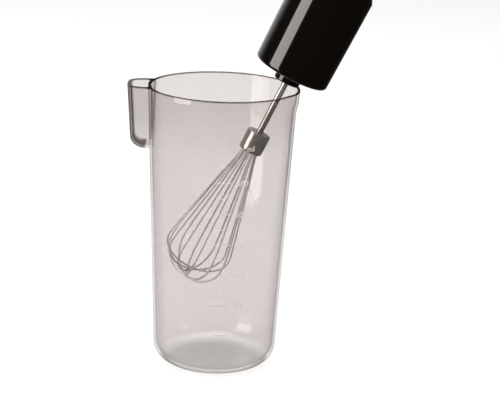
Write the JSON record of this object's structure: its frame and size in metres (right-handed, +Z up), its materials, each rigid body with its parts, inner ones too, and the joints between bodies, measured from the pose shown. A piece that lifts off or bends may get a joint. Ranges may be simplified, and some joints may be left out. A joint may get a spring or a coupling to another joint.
{
  "type": "immersion blender",
  "caption": "Hand-held immersion blender with a balloon whisk in a clear, tapered blending beaker with a pouring spout and a side pocket.",
  "frame": {"origin": "centre of the beaker's flat base", "axes": "+Z up out of the beaker; +X towards the pouring spout, the side that the blender leans to; -X towards the side pocket"},
  "size_m": [0.2231, 0.0892, 0.4137],
  "materials": {
    "clear_plastic": "clear, faintly smoky",
    "black_gloss": "high gloss",
    "soft_black": "matt",
    "grey_plastic": "satin",
    "white_acetal": "satin",
    "polished_steel": "polished stainless steel",
    "plain_steel": "ground",
    "bronze": "sintered",
    "copper": "lacquered copper",
    "lamination": "laminated electrical steel",
    "carbon": "pressed carbon",
    "board": "solder mask"
  },
  "bodies": {
    "handset": {"handset_casing": "black_gloss", "grip_sleeve": "soft_black", "lower_collar": "grey_plastic", "top_cap": "black_gloss", "cord_inlet": "soft_black", "on_switch": "grey_plastic", "turbo_switch": "grey_plastic", "circuit_board": "board", "speed_control": "grey_plastic", "stator_core": "lamination", "field_coil_front": "copper", "field_coil_rear": "copper", "brush_front": "carbon", "brush_rear": "carbon", "brush_holder_front": "bronze", "brush_holder_rear": "bronze", "lower_bearing": "plain_steel", "upper_bearing": "plain_steel", "motor_bracket_lower": "grey_plastic", "motor_bracket_upper": "grey_plastic"},
    "armature": {"armature_shaft": "plain_steel", "armature_core": "lamination", "armature_winding": "copper", "commutator": "copper", "cooling_fan": "white_acetal", "drive_coupling": "white_acetal"},
    "gear_holder": {"gear_holder_housing": "black_gloss", "output_bush": "bronze", "shaft_seal": "soft_black", "ring_gear": "white_acetal", "gear_cover": "grey_plastic", "cover_screw_1": "plain_steel", "cover_screw_2": "plain_steel", "cover_screw_3": "plain_steel", "input_bush": "bronze"},
    "sun": {"sun_gear": "white_acetal"},
    "carrier": {"planet_carrier": "grey_plastic", "planet_pin_1": "plain_steel", "planet_pin_2": "plain_steel", "planet_pin_3": "plain_steel", "stem_clip": "plain_steel"},
    "planet_1": {"planet_gear_1": "white_acetal"},
    "planet_2": {"planet_gear_2": "white_acetal"},
    "planet_3": {"planet_gear_3": "white_acetal"},
    "whisk": {"whisk_ferrule": "polished_steel", "whisk_stem": "polished_steel", "whisk_plug": "grey_plastic", "wire_loop_1": "polished_steel", "wire_loop_2": "polished_steel", "wire_loop_3": "polished_steel", "wire_loop_4": "polished_steel", "wire_loop_5": "polished_steel", "wire_loop_6": "polished_steel"},
    "on_button": {"on_button": "soft_black"},
    "turbo_button": {"turbo_button": "soft_black"},
    "release_button_left": {"release_button_left": "grey_plastic"},
    "release_button_right": {"release_button_right": "grey_plastic"},
    "speed_dial": {"speed_dial": "grey_plastic"},
    "beaker": {"beaker": "clear_plastic"}
  },
  "joints": [
    {"name": "holder_pull_off", "type": "slide", "parent": "handset", "child": "gear_holder", "axis": [-0.4179, 0, -0.9085], "range_m": [0, 0.024]},
    {"name": "armature_spin", "type": "hinge", "parent": "handset", "child": "armature", "pos_m": [0.09382, 0, 0.29901], "axis": [0.4179, 0, 0.9085], "continuous": true},
    {"name": "sun_spin", "type": "hinge", "parent": "gear_holder", "child": "sun", "pos_m": [0.05204, 0, 0.20816], "axis": [0.4179, 0, 0.9085], "continuous": true},
    {"name": "whisk_spin", "type": "hinge", "parent": "gear_holder", "child": "carrier", "pos_m": [0.04368, 0, 0.18998], "axis": [0.4179, 0, 0.9085], "continuous": true},
    {"name": "planet_spin_1", "type": "hinge", "parent": "carrier", "child": "planet_1", "pos_m": [0.05603, 0, 0.19531], "axis": [0.4179, 0, 0.9085], "continuous": true},
    {"name": "planet_spin_2", "type": "hinge", "parent": "carrier", "child": "planet_2", "pos_m": [0.04377, 0.00779, 0.20095], "axis": [0.4179, 0, 0.9085], "continuous": true},
    {"name": "planet_spin_3", "type": "hinge", "parent": "carrier", "child": "planet_3", "pos_m": [0.04377, -0.00779, 0.20095], "axis": [0.4179, 0, 0.9085], "continuous": true},
    {"name": "whisk_pull_out", "type": "slide", "parent": "carrier", "child": "whisk", "axis": [-0.4179, 0, -0.9085], "range_m": [0, 0.011]},
    {"name": "on_button_press", "type": "slide", "parent": "handset", "child": "on_button", "axis": [0.9085, 0, -0.4179], "range_m": [0, 0.0012], "stiffness_N_per_m": 900},
    {"name": "turbo_button_press", "type": "slide", "parent": "handset", "child": "turbo_button", "axis": [0.9085, 0, -0.4179], "range_m": [0, 0.0012], "stiffness_N_per_m": 900},
    {"name": "release_left_press", "type": "slide", "parent": "handset", "child": "release_button_left", "axis": [0, 1, 0], "range_m": [0, 0.0015], "stiffness_N_per_m": 1500},
    {"name": "release_right_press", "type": "slide", "parent": "handset", "child": "release_button_right", "axis": [0, -1, 0], "range_m": [0, 0.0015], "stiffness_N_per_m": 1500},
    {"name": "speed_dial_turn", "type": "hinge", "parent": "handset", "child": "speed_dial", "pos_m": [0.14313, 0, 0.40621], "axis": [0.4179, 0, 0.9085], "range_deg": [-135, 135]},
    {"name": "beaker_lower", "type": "slide", "parent": "gear_holder", "child": "beaker", "axis": [0, 0, -1], "range_m": [0, 0.15]}
  ],
  "couplings": [
    {"joint": "sun_spin", "follows": "armature_spin", "ratio": 1},
    {"joint": "whisk_spin", "follows": "armature_spin", "ratio": 0.16667},
    {"joint": "planet_spin_1", "follows": "armature_spin", "ratio": -0.41667},
    {"joint": "planet_spin_2", "follows": "armature_spin", "ratio": -0.41667},
    {"joint": "planet_spin_3", "follows": "armature_spin", "ratio": -0.41667}
  ]
}
